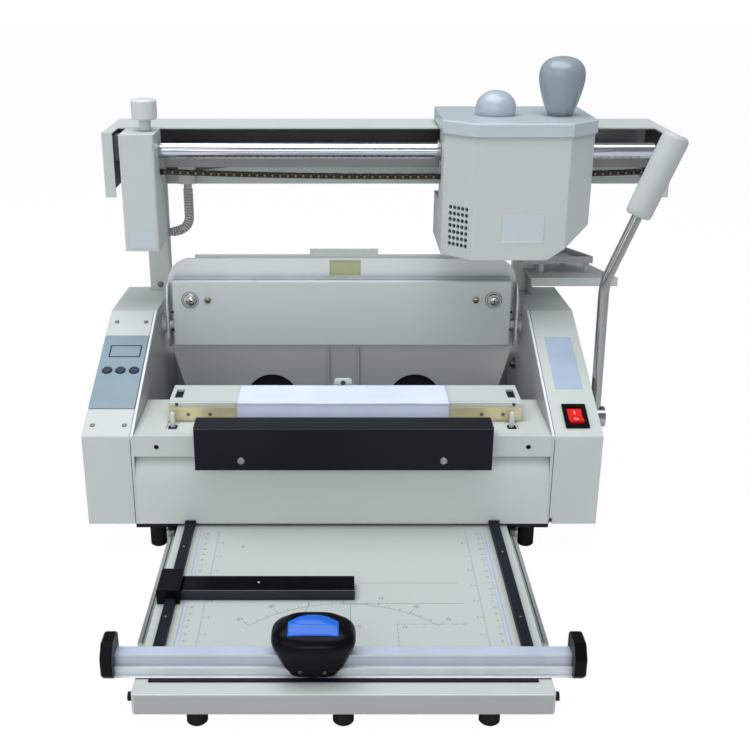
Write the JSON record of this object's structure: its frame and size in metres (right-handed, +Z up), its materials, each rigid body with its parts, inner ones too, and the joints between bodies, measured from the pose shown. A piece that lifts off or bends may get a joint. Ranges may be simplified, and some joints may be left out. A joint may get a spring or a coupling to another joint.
{
  "type": "perfect binding machine",
  "caption": "Desktop perfect binding machine with a tipping book clamp, a glue carriage on a rod, a lever-worked nip bar and a sliding board with a rotary trimmer.",
  "frame": {"origin": "centre of the underside of the front left foot", "axes": "+X to the operator's right, +Y to the back, +Z up"},
  "size_m": [0.5924, 0.559, 0.4629],
  "materials": {
    "body_paint": "satin",
    "dark_steel": "satin",
    "rubber": "matte",
    "overlay": "matte",
    "button": "matte",
    "black_plastic": "satin",
    "red_plastic": "gloss",
    "blue_plastic": "satin",
    "grey_plastic": "satin",
    "pale_plastic": "satin",
    "white_plastic": "satin",
    "chrome": "polished",
    "steel": "brushed",
    "aluminium": "satin",
    "brass": "satin",
    "paper": "matte"
  },
  "bodies": {
    "machine": {"base_plate": "dark_steel", "front_panel": "body_paint", "table_top": "body_paint", "rear_panel": "body_paint", "side_frames": "body_paint", "left_casing": "body_paint", "right_casing": "body_paint", "control_overlay": "overlay", "switch_bezel": "black_plastic", "machine_feet": "rubber", "columns": "body_paint", "beam_channel": "body_paint", "guide_rod": "chrome", "drive_chain": "steel", "heater_conduit": "white_plastic", "head_housing": "body_paint", "pan_bracket": "body_paint", "drip_pan": "body_paint", "nip_beam": "body_paint", "brass_strip": "brass", "stop_pins": "white_plastic", "nip_guides": "steel", "cover_sheet": "paper", "outer_slides": "steel", "power_inlet": "black_plastic", "machine_screws": "steel", "clamp_bushes": "white_plastic"},
    "knob": {"head_knob": "pale_plastic"},
    "left_key": {"button_left": "button"},
    "middle_key": {"button_middle": "button"},
    "right_key": {"button_right": "button"},
    "rocker": {"power_rocker": "red_plastic"},
    "carriage": {"carriage_body": "body_paint", "glue_tank": "aluminium", "carriage_bearings": "steel"},
    "lid": {"carriage_lid": "body_paint", "push_knob": "grey_plastic", "dome_knob": "grey_plastic"},
    "roller": {"glue_roller": "steel"},
    "sprocket": {"chain_sprocket": "steel"},
    "clamp": {"clamp_plate": "body_paint", "fixed_jaw": "aluminium", "clamp_handle": "body_paint", "clamp_trim": "black_plastic"},
    "jaw": {"front_jaw": "body_paint", "jaw_rods": "steel"},
    "bar": {"nip_bar": "dark_steel", "nip_rods": "steel"},
    "lever": {"lever_rod": "chrome", "lever_grip": "pale_plastic"},
    "board": {"board_panel": "body_paint", "side_rails": "black_plastic", "cutting_rail": "aluminium", "rail_end_caps": "black_plastic", "inner_slides": "steel", "board_feet": "rubber"},
    "cutter": {"cutter_head": "black_plastic", "cutter_cap": "blue_plastic"},
    "blade": {"cutter_blade": "steel"},
    "fence_body": {"fence": "black_plastic"}
  },
  "joints": [
    {"name": "head_knob_turn", "type": "hinge", "parent": "machine", "child": "knob", "pos_m": [-0.0195, 0.178, 0.4], "axis": [0, 0, 1], "continuous": true},
    {"name": "left_button_press", "type": "slide", "parent": "machine", "child": "left_key", "axis": [0, 0.3619, -0.9322], "range_m": [0, 0.0012], "stiffness_N_per_m": 400},
    {"name": "middle_button_press", "type": "slide", "parent": "machine", "child": "middle_key", "axis": [0, 0.3619, -0.9322], "range_m": [0, 0.0012], "stiffness_N_per_m": 400},
    {"name": "right_button_press", "type": "slide", "parent": "machine", "child": "right_key", "axis": [0, 0.3619, -0.9322], "range_m": [0, 0.0012], "stiffness_N_per_m": 400},
    {"name": "power_rocker_tip", "type": "hinge", "parent": "machine", "child": "rocker", "pos_m": [0.4135, 0.00409, 0.13541], "axis": [1, 0, 0], "range_deg": [0, 14]},
    {"name": "carriage_slide", "type": "slide", "parent": "machine", "child": "carriage", "axis": [1, 0, 0], "range_m": [-0.285, 0.07]},
    {"name": "lid_open", "type": "hinge", "parent": "carriage", "child": "lid", "pos_m": [0.366, 0.2534, 0.3918], "axis": [-1, 0, 0], "range_deg": [0, 100]},
    {"name": "roller_turn", "type": "hinge", "parent": "carriage", "child": "roller", "pos_m": [0.351, 0.191, 0.274], "axis": [0, 1, 0], "continuous": true},
    {"name": "sprocket_turn", "type": "hinge", "parent": "carriage", "child": "sprocket", "pos_m": [0.411, 0.179, 0.3235], "axis": [0, 1, 0], "continuous": true},
    {"name": "clamp_tip", "type": "hinge", "parent": "machine", "child": "clamp", "pos_m": [0.186, 0.193, 0.1705], "axis": [1, 0, 0], "range_deg": [0, 180]},
    {"name": "jaw_open", "type": "slide", "parent": "clamp", "child": "jaw", "axis": [0, -1, 0], "range_m": [0, 0.04]},
    {"name": "lever_pull", "type": "hinge", "parent": "machine", "child": "lever", "pos_m": [0.436, 0.056, 0.116], "axis": [1, 0, 0], "range_deg": [0, 75]},
    {"name": "bar_close", "type": "slide", "parent": "machine", "child": "bar", "axis": [0, 1, 0], "range_m": [0, 0.022]},
    {"name": "board_slide", "type": "slide", "parent": "machine", "child": "board", "axis": [0, 1, 0], "range_m": [0, 0.06]},
    {"name": "cutter_slide", "type": "slide", "parent": "board", "child": "cutter", "axis": [1, 0, 0], "range_m": [-0.12, 0.165]},
    {"name": "blade_turn", "type": "hinge", "parent": "cutter", "child": "blade", "pos_m": [0.1627, -0.2674, 0.0458], "axis": [0, 1, 0], "continuous": true},
    {"name": "fence_slide", "type": "slide", "parent": "board", "child": "fence_body", "axis": [0, 1, 0], "range_m": [-0.06, 0.03]}
  ],
  "couplings": [
    {"joint": "bar_close", "follows": "lever_pull", "m_per_rad": 0.0168},
    {"joint": "roller_turn", "follows": "carriage_slide", "rad_per_m": 66.667},
    {"joint": "sprocket_turn", "follows": "carriage_slide", "rad_per_m": -60.606},
    {"joint": "blade_turn", "follows": "cutter_slide", "rad_per_m": 74.074}
  ]
}
